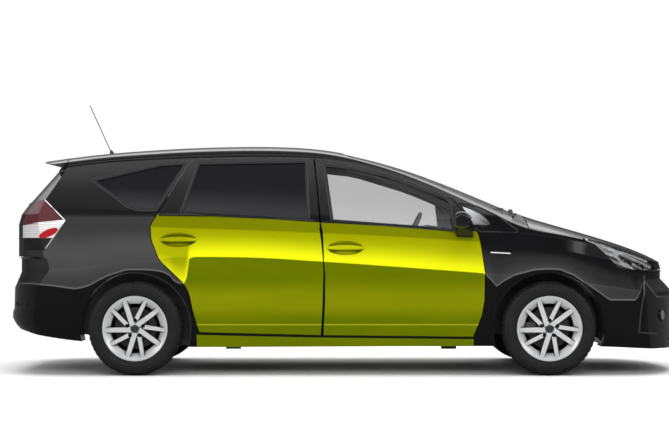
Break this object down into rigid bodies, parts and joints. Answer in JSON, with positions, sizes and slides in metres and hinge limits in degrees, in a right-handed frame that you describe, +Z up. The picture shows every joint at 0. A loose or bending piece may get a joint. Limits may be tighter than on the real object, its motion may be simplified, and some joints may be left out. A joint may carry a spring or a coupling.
{
  "type": "hybrid estate taxi cab",
  "caption": "Five-door estate taxi with a long sloping nose, hollow cabin, opening doors, hood and tailgate, steered front wheels and free-turning wheels.",
  "frame": {"origin": "on the ground, under the middle of the car's length and width", "axes": "+X towards the front, +Y to the car's left, +Z up"},
  "size_m": [4.644, 2.032, 1.8792],
  "materials": {
    "black_paint": "gloss black paint",
    "yellow_paint": "gloss yellow-green paint",
    "dark_glass": "tinted glass",
    "clear_glass": "clear glass",
    "lamp_clear": "clear moulded lens",
    "lamp_red": "red moulded lens",
    "black_plastic": "grained black plastic",
    "interior": "dark woven cloth",
    "dash_plastic": "soft dark plastic",
    "tyre_rubber": "black rubber",
    "alloy": "silver lacquered casting",
    "iron": "machined and bare casting",
    "steel": "pressed steel"
  },
  "bodies": {
    "body": {"body_shell": "black_paint", "sill_panels": "yellow_paint", "front_wing_left": "black_paint", "front_wing_right": "black_paint", "front_bumper": "black_paint", "rear_bumper": "black_paint", "grille": "black_plastic", "headlamps": "lamp_clear", "tail_lamps": "lamp_red", "windscreen": "clear_glass", "fixed_side_glass": "dark_glass", "cowl_panel": "black_plastic", "dashboard": "dash_plastic", "front_seats": "interior", "rear_bench": "interior", "engine_block": "alloy", "drive_shafts": "steel", "exhaust": "steel", "fuel_tank": "black_plastic", "front_suspension": "iron", "antenna": "black_plastic", "rear_axle": "iron"},
    "hood_lid": {"hood": "black_paint"},
    "tailgate_lid": {"tailgate": "black_paint", "tailgate_glass": "dark_glass", "spoiler": "black_paint"},
    "steering": {"steering_wheel": "dash_plastic"},
    "front_door_assembly_left": {"front_door_left": "yellow_paint", "front_door_glass_left": "clear_glass", "mirror_left": "black_plastic"},
    "rear_door_assembly_left": {"rear_door_left": "yellow_paint", "rear_door_glass_left": "dark_glass"},
    "knuckle_body_left": {"knuckle_left": "iron"},
    "wheel_front_left": {"tyre_front_left": "tyre_rubber", "rim_front_left": "alloy"},
    "wheel_rear_left": {"tyre_rear_left": "tyre_rubber", "rim_rear_left": "alloy"},
    "front_door_assembly_right": {"front_door_right": "yellow_paint", "front_door_glass_right": "clear_glass", "mirror_right": "black_plastic"},
    "rear_door_assembly_right": {"rear_door_right": "yellow_paint", "rear_door_glass_right": "dark_glass"},
    "knuckle_body_right": {"knuckle_right": "iron"},
    "wheel_front_right": {"tyre_front_right": "tyre_rubber", "rim_front_right": "alloy"},
    "wheel_rear_right": {"tyre_rear_right": "tyre_rubber", "rim_rear_right": "alloy"}
  },
  "joints": [
    {"name": "hood_hinge", "type": "hinge", "parent": "body", "child": "hood_lid", "pos_m": [1.237, 0, 1.096], "axis": [0, -1, 0], "range_deg": [0, 60]},
    {"name": "tailgate_hinge", "type": "hinge", "parent": "body", "child": "tailgate_lid", "pos_m": [-1.896, 0, 1.502], "axis": [0, 1, 0], "range_deg": [0, 75]},
    {"name": "steering_turn", "type": "hinge", "parent": "body", "child": "steering", "pos_m": [0.486, 0.37, 0.94], "axis": [0.9063, 0, -0.4226], "range_deg": [-540, 540]},
    {"name": "front_door_hinge_left", "type": "hinge", "parent": "body", "child": "front_door_assembly_left", "pos_m": [0.939, 0.89, 0.6], "axis": [0, 0, -1], "range_deg": [0, 65]},
    {"name": "rear_door_hinge_left", "type": "hinge", "parent": "body", "child": "rear_door_assembly_left", "pos_m": [-0.143, 0.89, 0.6], "axis": [0, 0, -1], "range_deg": [0, 65]},
    {"name": "steer_left", "type": "hinge", "parent": "body", "child": "knuckle_body_left", "pos_m": [1.3675, 0.722, 0.316], "axis": [0, 0, 1], "range_deg": [-35, 35]},
    {"name": "wheel_front_left_spin", "type": "hinge", "parent": "knuckle_body_left", "child": "wheel_front_left", "pos_m": [1.3675, 0.77, 0.316], "axis": [0, 1, 0], "continuous": true},
    {"name": "wheel_rear_left_spin", "type": "hinge", "parent": "body", "child": "wheel_rear_left", "pos_m": [-1.4125, 0.77, 0.316], "axis": [0, 1, 0], "continuous": true},
    {"name": "front_door_hinge_right", "type": "hinge", "parent": "body", "child": "front_door_assembly_right", "pos_m": [0.939, -0.89, 0.6], "axis": [0, 0, 1], "range_deg": [0, 65]},
    {"name": "rear_door_hinge_right", "type": "hinge", "parent": "body", "child": "rear_door_assembly_right", "pos_m": [-0.143, -0.89, 0.6], "axis": [0, 0, 1], "range_deg": [0, 65]},
    {"name": "steer_right", "type": "hinge", "parent": "body", "child": "knuckle_body_right", "pos_m": [1.3675, -0.722, 0.316], "axis": [0, 0, 1], "range_deg": [-35, 35]},
    {"name": "wheel_front_right_spin", "type": "hinge", "parent": "knuckle_body_right", "child": "wheel_front_right", "pos_m": [1.3675, -0.77, 0.316], "axis": [0, 1, 0], "continuous": true},
    {"name": "wheel_rear_right_spin", "type": "hinge", "parent": "body", "child": "wheel_rear_right", "pos_m": [-1.4125, -0.77, 0.316], "axis": [0, 1, 0], "continuous": true}
  ],
  "couplings": [
    {"joint": "steer_right", "follows": "steer_left", "ratio": 1},
    {"joint": "steering_turn", "follows": "steer_left", "ratio": -15.4}
  ]
}
